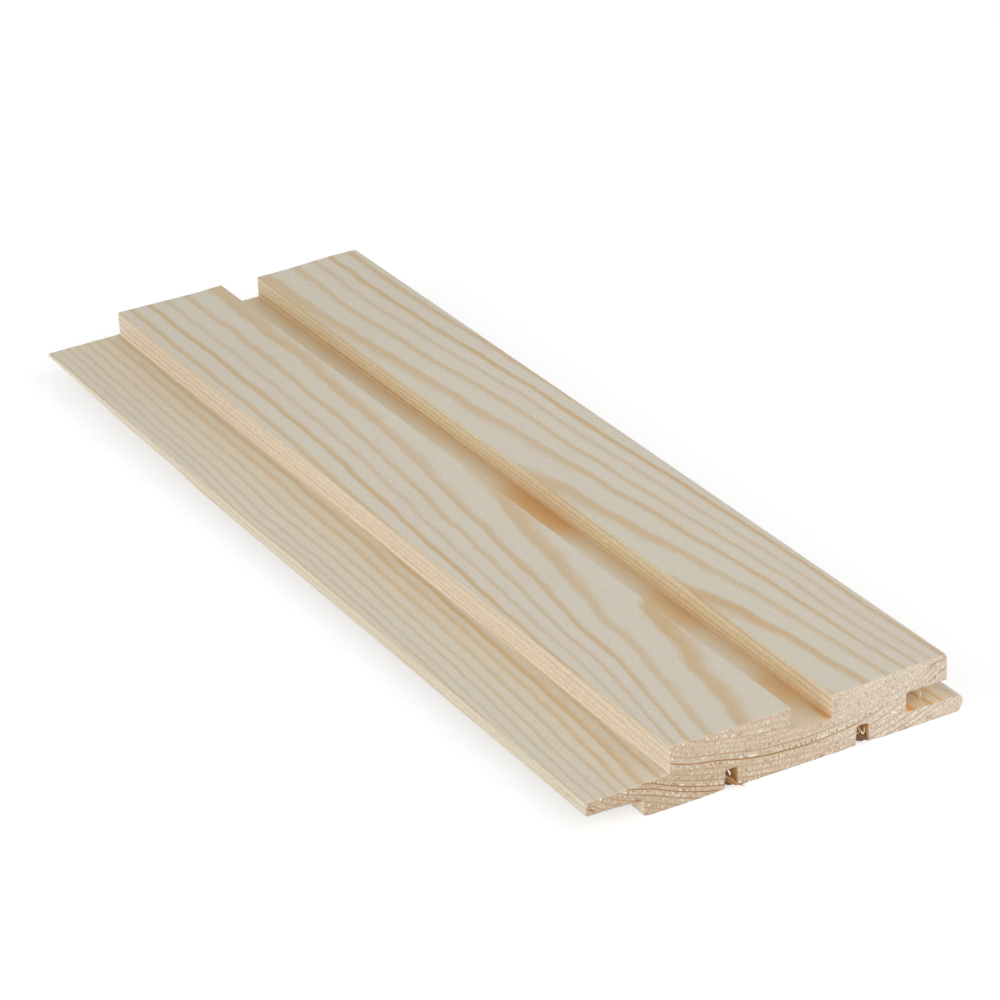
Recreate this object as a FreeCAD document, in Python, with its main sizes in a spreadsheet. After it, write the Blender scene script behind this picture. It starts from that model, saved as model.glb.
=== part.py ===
"""Softwood tongue and groove board whose face is moulded into two slats.

The board carries two raised slats with a sunk groove between them. Its tongue runs out under the
next board's groove and is wider than that groove is deep, so the rest of it shows as one more
sunk groove at every joint, and a boarded wall looks like evenly spaced slats.

The board lies on its back. X runs along it and is 0 at mid-length, Y runs across it from the
tongue edge (-Y) to the groove edge (+Y), and Z is 0 at the back and rises to the slats.

It is one moulded piece of timber, so it is one body: a planed blank, then a pocket for each
cutter of the moulder, then the edges and corners that the cutters leave rounded.
"""
import FreeCAD, Part
import os
import Sketcher

# Driving sizes in millimetres, apart from the count of kerfs. The slat face is the side that the
# joint is cut from, so a thicker board has a thicker lower lip and the same tongue.
SIZES = [
    ("board_length", 272.0, "cut length of the piece"),
    ("thickness", 14.5, "back to slat face"),
    ("slat_width", 30.0, "face of one slat, the same for both"),
    ("gap_width", 11.0, "sunk groove between two slats, in the board and at a joint"),
    ("face_groove_depth", 5.6, "slat face to the floor of the groove between the slats"),
    ("shoulder_depth", 6.2, "slat face to the tongue's top at its root"),
    ("tongue_reach", 9.7, "the part of the tongue that goes into the next board's groove"),
    ("tongue_root_thickness", 4.2, "tongue where it leaves the board"),
    ("tongue_top_fall", 0.35, "drop of the tongue's top from its root to its tip"),
    ("tongue_back_rise", 0.85, "rise of the tongue's underside from its root to its tip"),
    ("tongue_end_gap", 1.0, "tongue tip to the groove's bottom, when joined"),
    ("tongue_play", 0.5, "tongue's top at its root to the groove's ceiling, when joined"),
    ("lip_reach", 4.3, "lower lip beyond the edge of the slat over it"),
    ("lip_play", 0.1, "lower lip to the tongue's underside, when joined"),
    ("lip_end_gap", 0.2, "end of the lower lip to the rebate's wall, when joined"),
    ("kerf_width", 3.1, "one relief kerf in the back"),
    ("kerf_depth", 4.7, "one relief kerf in the back"),
    ("kerf_from_rebate", 21.8, "rebate's wall to the middle of the first kerf"),
    ("kerf_from_groove", 11.4, "middle of the last kerf to the bottom of the edge groove"),
    ("kerf_count", 2, "number of relief kerfs"),
    ("slat_edge_radius", 0.6, "eased edges of the slats"),
    ("slat_foot_radius", 0.6, "inside corners at the foot of the slats"),
    ("upper_lip_radius", 0.4, "edge of the upper lip, inside the mouth of the edge groove"),
    ("groove_corner_radius", 0.6, "inside corners at the bottom of the edge groove"),
    ("tongue_edge_radius", 0.5, "both edges of the tongue's tip"),
    ("lip_face_radius", 1.0, "end of the lower lip, edge towards the face"),
    ("lip_back_radius", 2.2, "end of the lower lip, edge at the back"),
    ("rebate_edge_radius", 0.7, "edge of the rebate's wall at the back"),
    ("rebate_corner_radius", 0.4, "inside corner of the rebate"),
    ("kerf_edge_radius", 0.3, "edges of the kerfs at the back"),
    ("kerf_corner_radius", 0.5, "inside corners of the kerfs"),
]

# How far the outline of a cutter runs past the blank, in millimetres
OVERRUN = 2.0

# The most that a rounded edge or corner may take of a wall beside it. The lower lip's end is
# rounded mostly from the back.
WALL_SHARE = 0.4
LIP_BACK_SHARE = 0.58

# Millimetres within which an edge is at its place in the section
PLACE_TOLERANCE = 1e-4

# Places across the board, from the tongue's tip to the end of the lower lip
TIP = "(-sizes.slat_width - sizes.gap_width - (sizes.tongue_reach + sizes.lip_reach) / 2)"
REBATE_WALL = f"({TIP} + sizes.tongue_reach + sizes.lip_reach + sizes.lip_end_gap)"
SLAT_1_LEFT = f"({TIP} + sizes.tongue_reach + sizes.gap_width)"
SLAT_1_RIGHT = f"({SLAT_1_LEFT} + sizes.slat_width)"
SLAT_2_LEFT = f"({SLAT_1_RIGHT} + sizes.gap_width)"
SLAT_2_RIGHT = f"({SLAT_2_LEFT} + sizes.slat_width)"
GROOVE_BOTTOM = f"({SLAT_2_RIGHT} - sizes.tongue_reach - sizes.tongue_end_gap)"
LIP_END = f"({SLAT_2_RIGHT} + sizes.lip_reach)"
BEFORE_TIP = f"({TIP} - {OVERRUN})"
PAST_LIP = f"({LIP_END} + {OVERRUN})"

# The kerfs, from the one nearest the rebate to the one nearest the edge groove
FIRST_KERF = f"({REBATE_WALL} + sizes.kerf_from_rebate)"
LAST_KERF = f"({GROOVE_BOTTOM} - sizes.kerf_from_groove)"
KERF_SPAN = f"({LAST_KERF} - {FIRST_KERF})"

# Heights above the back
FACE = "sizes.thickness"
ABOVE_FACE = f"(sizes.thickness + {OVERRUN})"
BACK = "0"
BELOW_BACK = f"(-{OVERRUN})"
FACE_GROOVE_FLOOR = "(sizes.thickness - sizes.face_groove_depth)"
TONGUE_TOP = "(sizes.thickness - sizes.shoulder_depth)"
TONGUE_UNDERSIDE = f"({TONGUE_TOP} - sizes.tongue_root_thickness)"
TIP_TOP = f"({TONGUE_TOP} - sizes.tongue_top_fall)"
TIP_UNDERSIDE = f"({TONGUE_UNDERSIDE} + sizes.tongue_back_rise)"
GROOVE_CEILING = f"({TONGUE_TOP} + sizes.tongue_play)"
LIP_TOP = f"({TONGUE_UNDERSIDE} - sizes.lip_play)"
KERF_TOP = "sizes.kerf_depth"

# Walls whose thickness or height limits how far their edges are rounded
TIP_THICKNESS = f"({TIP_TOP} - {TIP_UNDERSIDE})"
UPPER_LIP_THICKNESS = "(sizes.shoulder_depth - sizes.tongue_play)"
GROOVE_HEIGHT = f"({GROOVE_CEILING} - {LIP_TOP})"


def make_sheet(doc):
    """Put the driving sizes in a sheet, one row each, with its name as the alias."""
    sheet = doc.addObject("Spreadsheet::Sheet", "sizes")
    for row, (name, value, meaning) in enumerate(SIZES, start=1):
        sheet.set(f"A{row}", name)
        sheet.set(f"B{row}", str(value))
        sheet.setAlias(f"B{row}", name)
        sheet.set(f"C{row}", meaning)
    doc.recompute()
    return sheet


def origin_feature(body, role):
    """One of the body's own origin planes or axes."""
    return next(item for item in body.Origin.OriginFeatures if item.Role == role)


def section_sketch(body, name, corners):
    """Closed outline on the board's cross-section, each corner held by its own expressions."""
    sketch = body.newObject("Sketcher::SketchObject", name)
    sketch.AttachmentSupport = [(origin_feature(body, "YZ_Plane"), "")]
    sketch.MapMode = "FlatFace"
    sheet = body.Document.getObject("sizes")
    points = [FreeCAD.Vector(*(place(sheet, text) for text in corner), 0) for corner in corners]
    count = len(points)
    for index in range(count):
        line = Part.LineSegment(points[index], points[(index + 1) % count])
        sketch.addGeometry(line, False)
    for index in range(count):
        sketch.addConstraint(Sketcher.Constraint("Coincident", index, 2, (index + 1) % count, 1))
    for index, (across, height) in enumerate(corners):
        for kind, text, value in (
            ("DistanceX", across, points[index].x),
            ("DistanceY", height, points[index].y),
        ):
            if text == BACK:
                sketch.addConstraint(Sketcher.Constraint("PointOnObject", index, 1, -1))
                continue
            held = sketch.addConstraint(Sketcher.Constraint(kind, -1, 1, index, 1, value))
            sketch.setExpression(f"Constraints[{held}]", f"({text}) * 1 mm")
    return sketch


def box_outline(left, right, bottom, top):
    """Corners of an upright rectangle."""
    return [(left, bottom), (right, bottom), (right, top), (left, top)]


def place(sheet, text):
    """Value in millimetres of one of the expressions above."""
    value = sheet.evalExpression(text)
    return float(getattr(value, "Value", value))


def along_board(body, kind, name, corners):
    """Pad or pocket of a section, the whole length of the board."""
    feature = body.newObject(f"PartDesign::{kind}", name)
    feature.Profile = section_sketch(body, f"{name}_section", corners)
    feature.SideType = "Symmetric"
    feature.setExpression("Length", "sizes.board_length * 1 mm")
    body.Document.recompute()
    return feature


def cut(body, name, corners):
    """Pocket that has to take wood away."""
    before = body.Shape.Volume
    pocket = along_board(body, "Pocket", name, corners)
    if not body.Shape.Volume < before:
        raise RuntimeError(f"{name} takes nothing away")
    return pocket


def long_edges(feature, places):
    """Names of the edges that run along the board at the given places of its section."""
    sheet = feature.Document.getObject("sizes")
    wanted = [(place(sheet, across), place(sheet, height)) for across, height in places]
    names = []
    for across, height in wanted:
        for index, edge in enumerate(feature.Shape.Edges, start=1):
            middle = edge.BoundBox.Center
            runs_along = edge.BoundBox.XLength > edge.Length - PLACE_TOLERANCE
            near = abs(middle.y - across) + abs(middle.z - height) < PLACE_TOLERANCE
            if runs_along and near:
                names.append(f"Edge{index}")
                break
        else:
            raise RuntimeError(f"No edge at {across:.3f}, {height:.3f}")
    return names


def round_edges(body, name, places, radius, walls, share=WALL_SHARE):
    """Fillet on long edges, no larger than the walls beside them allow."""
    before = body.Tip
    fillet = body.newObject("PartDesign::Fillet", name)
    fillet.Base = (before, long_edges(before, places))
    limits = [f"sizes.{radius}"] + [f"{share} * {wall}" for wall in walls]
    fillet.setExpression("Radius", f"min({'; '.join(limits)}) * 1 mm")
    body.Document.recompute()
    return fillet


def make_board(doc):
    """The whole board as one body."""
    body = doc.addObject("PartDesign::Body", "board")
    body.Label = "board"

    along_board(body, "Pad", "planed_blank", box_outline(TIP, LIP_END, BACK, FACE))
    cut_tongue(body)
    cut_face_groove(body)
    cut_edge_groove(body)
    cut_kerfs(body)
    round_face(body)
    round_joint(body)
    round_back(body)
    return body


def cut_tongue(body):
    """Free the tongue from both sides, so that it thins towards its tip."""
    top = [
        (BEFORE_TIP, TIP_TOP),
        (TIP, TIP_TOP),
        (SLAT_1_LEFT, TONGUE_TOP),
        (SLAT_1_LEFT, ABOVE_FACE),
        (BEFORE_TIP, ABOVE_FACE),
    ]
    cut(body, "tongue_top", top)
    underside = [
        (BEFORE_TIP, BELOW_BACK),
        (REBATE_WALL, BELOW_BACK),
        (REBATE_WALL, TONGUE_UNDERSIDE),
        (TIP, TIP_UNDERSIDE),
        (BEFORE_TIP, TIP_UNDERSIDE),
    ]
    cut(body, "tongue_rebate", underside)


def cut_face_groove(body):
    """Sunk groove that parts the two slats."""
    outline = box_outline(SLAT_1_RIGHT, SLAT_2_LEFT, FACE_GROOVE_FLOOR, ABOVE_FACE)
    cut(body, "face_groove", outline)


def cut_edge_groove(body):
    """Groove for the next board's tongue, then the upper lip back to the slat's edge."""
    cut(body, "edge_groove", box_outline(GROOVE_BOTTOM, PAST_LIP, LIP_TOP, GROOVE_CEILING))
    cut(body, "upper_lip_end", box_outline(SLAT_2_RIGHT, PAST_LIP, LIP_TOP, ABOVE_FACE))


def cut_kerfs(body):
    """Relief kerfs in the back, evenly spaced from the first to the last."""
    half = "sizes.kerf_width / 2"
    left, right = f"({FIRST_KERF} - {half})", f"({FIRST_KERF} + {half})"
    first = cut(body, "relief_kerf", box_outline(left, right, BELOW_BACK, KERF_TOP))
    kerfs = body.newObject("PartDesign::LinearPattern", "relief_kerfs")
    kerfs.Originals = [first]
    kerfs.Direction = (first.Profile[0], ["H_Axis"])
    kerfs.setExpression("Length", f"{KERF_SPAN} * 1 mm")
    kerfs.setExpression("Occurrences", "sizes.kerf_count")
    body.Tip = kerfs
    body.Document.recompute()


def kerf_sides(sheet):
    """Both sides of every kerf, across the board."""
    count = int(place(sheet, "sizes.kerf_count"))
    step = f"{KERF_SPAN} / max(1; sizes.kerf_count - 1)"
    middles = [f"({FIRST_KERF} + {number} * {step})" for number in range(count)]
    return [f"({middle} {side} sizes.kerf_width / 2)" for middle in middles for side in "-+"]


def round_face(body):
    """Eased slat edges, and the corners at the foot of the slats."""
    slat_edges = [(side, FACE) for side in (SLAT_1_LEFT, SLAT_1_RIGHT, SLAT_2_LEFT, SLAT_2_RIGHT)]
    walls = ("sizes.slat_width", "sizes.face_groove_depth", UPPER_LIP_THICKNESS)
    round_edges(body, "slat_edges", slat_edges, "slat_edge_radius", walls)
    feet = [
        (SLAT_1_LEFT, TONGUE_TOP),
        (SLAT_1_RIGHT, FACE_GROOVE_FLOOR),
        (SLAT_2_LEFT, FACE_GROOVE_FLOOR),
    ]
    walls = ("sizes.gap_width", "sizes.face_groove_depth")
    round_edges(body, "slat_feet", feet, "slat_foot_radius", walls)


def round_joint(body):
    """Edges and corners of the tongue, its rebate, the edge groove and the two lips."""
    tip_edges = [(TIP, TIP_TOP), (TIP, TIP_UNDERSIDE)]
    round_edges(body, "tongue_edges", tip_edges, "tongue_edge_radius", (TIP_THICKNESS,))
    rebate_corner = [(REBATE_WALL, TONGUE_UNDERSIDE)]
    round_edges(body, "rebate_corner", rebate_corner, "rebate_corner_radius", (TONGUE_UNDERSIDE,))
    groove_corners = [(GROOVE_BOTTOM, GROOVE_CEILING), (GROOVE_BOTTOM, LIP_TOP)]
    round_edges(body, "groove_corners", groove_corners, "groove_corner_radius", (GROOVE_HEIGHT,))
    upper_lip = [(SLAT_2_RIGHT, GROOVE_CEILING)]
    round_edges(body, "upper_lip_edge", upper_lip, "upper_lip_radius", (UPPER_LIP_THICKNESS,))
    lip_face = [(LIP_END, LIP_TOP)]
    round_edges(body, "lip_face_edge", lip_face, "lip_face_radius", (LIP_TOP, "sizes.lip_reach"))


def round_back(body):
    """Edges at the back: the lower lip's end, the rebate's wall and the kerfs."""
    sides = kerf_sides(body.Document.getObject("sizes"))
    lip_back = [(LIP_END, BACK)]
    round_edges(body, "lip_back_edge", lip_back, "lip_back_radius", (LIP_TOP,), LIP_BACK_SHARE)
    rebate_edge = [(REBATE_WALL, BACK)]
    round_edges(body, "rebate_edge", rebate_edge, "rebate_edge_radius", (TONGUE_UNDERSIDE,))
    kerf_walls = ("sizes.kerf_width", "sizes.kerf_depth")
    kerf_edges = [(side, BACK) for side in sides]
    round_edges(body, "kerf_edges", kerf_edges, "kerf_edge_radius", kerf_walls)
    kerf_corners = [(side, KERF_TOP) for side in sides]
    round_edges(body, "kerf_corners", kerf_corners, "kerf_corner_radius", kerf_walls)


def check(doc, body):
    """Stop if anything failed to build, or the board isn't one sound solid."""
    for item in doc.Objects:
        if {"Invalid", "Error"} & set(item.State):
            raise RuntimeError(f"{item.Name} did not build: {item.State}")
    shape = body.Shape
    if shape.isNull() or not shape.isValid() or len(shape.Solids) != 1:
        raise RuntimeError(f"{body.Label} is not one valid solid")


def main():
    doc = FreeCAD.newDocument("tongue_and_groove_board")
    make_sheet(doc)
    board = make_board(doc)
    doc.recompute()
    check(doc, board)
    os.makedirs("parts", exist_ok=True)
    board.Shape.exportStep(f"parts/{board.Label}.step")
    extent = board.Shape.BoundBox
    print(f"{board.Label}: {extent.XLength:.2f} x {extent.YLength:.2f} x {extent.ZLength:.2f} mm,")
    print(f"volume {board.Shape.Volume / 1000:.2f} cm3, faces {len(board.Shape.Faces)}")


main()
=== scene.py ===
"""Softwood tongue and groove board: its planed faces, sawn ends, grain and loose fibres.

The board lies on its back. X runs along it, Y across it from the tongue to the edge groove, and
Z rises from the back to the slats. Sizes are in millimetres and are turned to metres when a mesh
or a material is made.
"""

import bmesh
import bpy
import math
import random
from mathutils import Matrix, Vector
from mathutils.geometry import delaunay_2d_cdt


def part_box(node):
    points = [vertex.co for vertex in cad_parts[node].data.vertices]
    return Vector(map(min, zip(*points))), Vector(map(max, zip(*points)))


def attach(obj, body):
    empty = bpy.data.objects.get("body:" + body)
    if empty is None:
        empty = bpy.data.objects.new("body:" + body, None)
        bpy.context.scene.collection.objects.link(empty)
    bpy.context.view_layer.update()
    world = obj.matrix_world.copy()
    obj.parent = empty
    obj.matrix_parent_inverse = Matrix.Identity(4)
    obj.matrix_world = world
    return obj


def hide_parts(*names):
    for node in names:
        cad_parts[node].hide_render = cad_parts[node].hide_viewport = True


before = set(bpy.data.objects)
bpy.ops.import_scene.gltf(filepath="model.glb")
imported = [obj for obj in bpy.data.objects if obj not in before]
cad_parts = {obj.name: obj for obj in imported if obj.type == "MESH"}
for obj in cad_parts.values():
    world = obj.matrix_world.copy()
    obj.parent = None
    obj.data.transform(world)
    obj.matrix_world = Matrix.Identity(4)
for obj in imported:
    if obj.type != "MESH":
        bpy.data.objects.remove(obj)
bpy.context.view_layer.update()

MM = 0.001

# Overall sizes of the board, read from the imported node
LOW, HIGH = (Vector(corner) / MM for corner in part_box("board"))
HALF_LENGTH = (HIGH.x - LOW.x) / 2
THICKNESS = HIGH.z

# The sizes of the section, as they are in the part's source, but for the slats' sharper arrises
SLAT_WIDTH = 30.0
GAP_WIDTH = 11.0
FACE_GROOVE_DEPTH = 5.6
SHOULDER_DEPTH = 6.2
TONGUE_REACH = 9.7
TONGUE_ROOT_THICKNESS = 4.2
TONGUE_TOP_FALL = 0.35
TONGUE_BACK_RISE = 0.85
TONGUE_END_GAP = 1.0
TONGUE_PLAY = 0.5
LIP_REACH = 4.3
LIP_PLAY = 0.1
LIP_END_GAP = 0.2
KERF_WIDTH = 3.1
KERF_DEPTH = 4.7
KERF_FROM_REBATE = 21.8
KERF_FROM_GROOVE = 11.4
SLAT_EDGE_RADIUS = 0.4
SLAT_FOOT_RADIUS = 0.6
UPPER_LIP_RADIUS = 0.4
GROOVE_CORNER_RADIUS = 0.6
TONGUE_EDGE_RADIUS = 0.5
LIP_FACE_RADIUS = 1.0
LIP_BACK_RADIUS = 2.2
REBATE_EDGE_RADIUS = 0.7
REBATE_CORNER_RADIUS = 0.4
KERF_EDGE_RADIUS = 0.3
KERF_CORNER_RADIUS = 0.5

# Places across the board and heights above its back
TIP = LOW.y
REBATE_WALL = TIP + TONGUE_REACH + LIP_REACH + LIP_END_GAP
SLAT_1_LEFT = TIP + TONGUE_REACH + GAP_WIDTH
SLAT_1_RIGHT = SLAT_1_LEFT + SLAT_WIDTH
SLAT_2_LEFT = SLAT_1_RIGHT + GAP_WIDTH
SLAT_2_RIGHT = SLAT_2_LEFT + SLAT_WIDTH
GROOVE_BOTTOM = SLAT_2_RIGHT - TONGUE_REACH - TONGUE_END_GAP
LIP_END = SLAT_2_RIGHT + LIP_REACH
KERFS = (REBATE_WALL + KERF_FROM_REBATE, GROOVE_BOTTOM - KERF_FROM_GROOVE)
FACE_GROOVE_FLOOR = THICKNESS - FACE_GROOVE_DEPTH
TONGUE_TOP = THICKNESS - SHOULDER_DEPTH
TONGUE_UNDERSIDE = TONGUE_TOP - TONGUE_ROOT_THICKNESS
GROOVE_CEILING = TONGUE_TOP + TONGUE_PLAY
LIP_TOP = TONGUE_UNDERSIDE - LIP_PLAY

# How finely the mesh follows the section and the length; faces that meet at more than this many
# degrees keep a sharp edge, and places closer than the tolerance count as one
SECTION_STEP = 1.0
LENGTH_STEP = 2.0
ARC_STEPS = 6
SHARP_ANGLE = 35
TOLERANCE = 0.01
RANDOM_SEED = 3

# The worn arris at the sawn ends: its size, and the shares of it that are always gone, that go
# where the wood is soft and that go by chance
ARRIS = 0.22
ARRIS_ALWAYS = 0.45
ARRIS_SOFT = 0.75
ARRIS_CHANCE = 0.2
# The worn arris in section: how far back from the end and how far in from the face, as shares
ARRIS_PROFILE = ((0.0, 1.0), (0.3, 0.3), (1.0, 0.0))
# The sawn ends: squares with one point each, where that may lie in its square, and how uneven it is
END_STEP = 0.9
END_SPREAD = (0.2, 0.8)
END_RELIEF = 0.05
# How the triangles of a sawn end are worked out: those inside its outline, and how exactly
INSIDE_ONLY = 1
END_ACCURACY = 1e-6

# Annual rings: circles round a pith that lies over the board and rises towards its far end.
# PITH_Y and PITH_Z give its place as a + b s + c s s, where s runs from -1 to 1 along the board.
PITH_Y = (8.8, 0.0, 0.43)
PITH_Z = (96.5, -2.1, -0.75)
FIRST_RING = 79.0
RING_WIDTHS = (1.5, 1.6, 1.6, 1.4, 1.4, 1.4, 1.8, 1.7, 1.3, 1.2, 1.4, 1.2, 1.5, 1.6, 1.3, 1.5,
               1.2, 1.2, 1.3, 1.4, 1.3, 1.4)
# How dark the latewood of each ring is, from the same first ring
RING_STRENGTHS = (0.75, 1.0, 0.75, 0.8, 0.68, 0.55, 1.0, 0.85, 0.55, 0.6, 0.95, 1.0, 0.75, 0.72,
                  0.6, 0.6, 0.5, 0.62, 0.5, 0.55, 0.55, 0.55, 0.55)
# How dark the line of each ring is on the sawn ends, from the same first ring
END_RING_STRENGTHS = (0.6, 0.65, 0.6, 0.82, 0.6, 0.55, 0.82, 0.85, 0.62, 0.65, 0.8, 0.85, 0.85,
                      0.75, 0.7, 0.65, 0.6, 0.6, 0.55, 0.55, 0.55, 0.55, 0.55)
# The rings whose lines stand out on the left of the sawn ends, and by how much
BOLD_RINGS = (7.0, 11.0, 12.0)
BOLD_LINE = 0.33

# Where the rings bulge out of round: place, reach along each axis, and distance
RING_PUSHES = (
    ((140, -14, 14), (45, 14, 6), 1.0),
    ((-45, -12, 14), (60, 14, 8), -0.75),
    ((20, 32, 14), (45, 12, 8), -0.35),
    ((136, 42, 14), (60, 14, 4), -1.5),
    ((-20, -46, 8), (20, 8, 5), 0.7),
    ((136, -44, 8), (50, 8.5, 6), 0.85),
    ((-105, -27, 9), (60, 5, 2.5), 0.65),
    ((110, 14, 11), (45, 6, 4), 0.5),
    ((-100, 30, 14), (40, 14, 8), -0.5),
    ((-80, -42, 8), (40, 10, 6), 0.25),
    ((136, 5, 6), (50, 18, 4), -0.45),
    ((140, -15, 9), (25, 7, 4), -0.7),
    ((20, 8, 9), (45, 7, 3), -0.6),
    ((140, -24, 14), (22, 9, 6), 0.9),
    ((138, -5, 14), (18, 6, 5), -0.25),
    ((75, -13, 14), (14, 8, 5), 0.3),
    ((85, 1, 14), (14, 5, 5), 0.2),
    ((-110, 0, 14), (50, 6, 6), 0.17),
    ((-50, -8, 14), (35, 7, 6), 0.2),
    ((-28, 20, 14), (25, 7, 6), -0.28),
    ((-60, 26, 14), (12, 7, 6), -0.25),
    ((100, 21, 14), (22, 7, 5), 0.2),
    ((125, 42, 14), (40, 8, 4), -0.25),
    ((136, 24, 6), (30, 12, 2.5), -0.8),
    ((136, 52, 0), (60, 10, 8), -2.0),
    ((136, 33, 8.2), (40, 8, 3), -1.4),
    ((136, -37, 8.3), (30, 3, 2.2), 0.5),
    ((136, -30, 8.3), (30, 2.6, 2.2), -0.3),
)
# Small waves in the rings: their length along each axis, and their height
RING_WAVES = (((15, 10, 10), 0.19), ((7, 3, 3), 0.06))

# Where the wood has moved since it was planed: place, reach along each axis, and how far it has
# moved in Y and in Z
WARPS = (
    ((0, 39, 14.5), (900, 13, 5), 0.0, 0.85),
    ((0, 2.7, 14.5), (900, 5, 4), 0.5, 0.3),
    ((136, -27.3, 14.5), (25, 7, 4), 0.0, 0.4),
    ((0, -48, 4.9), (900, 3, 1), 0.0, -0.35),
)

# Wane along the tongue's tip: how far below the tongue's top its lower edge is at places along it,
# and how steeply the missing wood runs in under the tongue
WANE = ((-136, 0.6), (-111, 1.3), (-86, 2.0), (-61, 2.05), (-36, 3.1), (-20, 3.9))
WANE_SLOPE = 0.45
# How near to the tongue's top and to the rebate's wall the wane may come
WANE_FROM_TOP = 0.4
WANE_FROM_WALL = 0.5

# Where the sawn near end has lost more of its arris: place, reach and depth
END_CHIPS = (
    (-14.2, 0.3, 1.5, 0.7),
    (-33.6, 0.2, 1.2, 0.5),
    (19.4, 0.2, 1.6, 0.7),
    (24.0, 0.2, 1.4, 0.7),
    (43.4, 14.2, 0.9, 0.4),
    (-47.6, 5.6, 1.2, 0.4),
)

# How finely a loose strip follows its line, where its flat side looks, how thick its ends are as a
# share of its middle, and how soon it is full: at once with 0, and slowly with 1
STRAND_STEPS = 6
STRAND_SIDES = 8
STRAND_FACING = Vector((1, 0.1, 0))
STRAND_END = 0.2
STRAND_TAPER = 0.4
# Loose strips of wood, and dark strips of painted shade in the kerfs: name, colour, width,
# thickness, twist, and points from one end to the other
STRANDS = (
    ("kerf_1_splinter", "pale", 0.42, 0.2, 0.3,
     ((135.7, -12.85, 4.7), (136.1, -12.75, 4.3), (136.2, -12.6, 3.8), (136.1, -12.55, 3.3))),
    ("kerf_1_shaving", "brown", 0.34, 0.2, 0.4,
     ((134.4, -13.4, 3.2), (136.1, -12.6, 2.35), (136.6, -11.5, 1.4), (136.9, -10.3, 0.65),
      (137.0, -9.3, 0.15))),
    ("kerf_1_sliver", "brown", 0.3, 0.2, 0.4,
     ((134.2, -13.4, 2.6), (135.9, -12.7, 1.8), (136.4, -11.7, 1.0), (136.3, -10.7, 0.45))),
    ("kerf_1_chip", "brown", 0.8, 0.25, 0.5,
     ((135.2, -12.3, 2.5), (136.1, -11.9, 1.9), (136.4, -11.5, 1.25), (136.2, -11.2, 0.8))),
    # A dark sheet of painted shade, where the floor under the board is seen in shadow through the
    # kerf
    ("kerf_1_packing", "dark", 1.8, 0.4, 0.1,
     ((134.9, -13.6, 1.7), (135.1, -12.6, 1.4), (135.2, -11.6, 1.05), (135.3, -10.6, 0.95))),
    ("kerf_2_sliver", "brown", 0.75, 0.25, 0.2,
     ((135.0, 20.5, 4.7), (135.8, 20.65, 4.2), (136.1, 20.75, 3.6), (136.0, 20.9, 3.1))),
    ("kerf_2_curl", "pale", 0.35, 0.22, 0.3,
     ((135.8, 20.95, 4.0), (136.2, 21.05, 3.3), (136.3, 21.4, 2.8), (136.2, 21.8, 3.1),
      (136.0, 21.95, 4.1))),
    # A dark band of painted shadow at the bottom of the kerf's wall
    ("kerf_2_shaving", "dark", 0.55, 0.25, 0.4,
     ((134.8, 20.2, 2.6), (135.9, 21.2, 1.8), (136.2, 22.2, 1.1), (136.0, 23.1, 0.7))),
    # A dark sheet of painted shade, where the floor under the board is seen in shadow through the
    # kerf
    ("kerf_2_packing", "dark", 1.7, 0.4, 0.1,
     ((135.0, 20.0, 1.75), (135.2, 21.0, 1.4), (135.2, 22.1, 1.0), (135.2, 23.1, 0.9))),
    ("groove_fibre_1", "pale", 0.11, 0.09, 0.5,
     ((135.2, 35.9, 8.8), (135.8, 36.2, 7.9), (136.0, 36.5, 6.9), (135.8, 36.7, 5.9))),
    ("groove_fibre_2", "pale", 0.12, 0.09, 0.5,
     ((135.4, 36.8, 8.8), (136.0, 36.7, 7.8), (136.1, 36.8, 6.7), (136.0, 37.0, 5.4))),
    ("groove_fibre_3", "pale", 0.10, 0.09, 0.5,
     ((134.6, 37.3, 8.8), (135.3, 37.0, 8.0), (135.6, 36.9, 7.0), (135.4, 36.6, 6.2))),
    ("rebate_fibre_1", "brown", 0.35, 0.2, 0.5,
     ((135.8, -36.2, 4.3), (136.2, -35.7, 4.7), (136.3, -35.1, 4.6), (136.1, -34.6, 4.2))),
    ("rebate_fibre_2", "pale", 0.25, 0.2, 0.5,
     ((135.6, -35.2, 4.5), (136.3, -34.8, 4.1), (136.4, -34.4, 3.5), (136.0, -34.1, 3.0))),
    ("back_fibre", "pale", 0.22, 0.16, 0.3,
     ((135.8, -6.6, 0.3), (136.2, -6.0, 0.25), (136.3, -5.4, 0.2), (136.0, -4.9, 0.3))),
    ("tongue_fibre_1", "pale", 0.16, 0.12, 0.3,
     ((-119.4, -31.5, 8.3), (-118.8, -31.1, 8.5), (-118.5, -30.8, 8.45), (-118.2, -30.6, 8.3))),
    ("tongue_fibre_2", "pale", 0.14, 0.1, 0.3,
     ((-39.4, -30.4, 8.3), (-38.8, -30.3, 8.45), (-38.2, -30.1, 8.45), (-37.8, -30.0, 8.3))),
)


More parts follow.
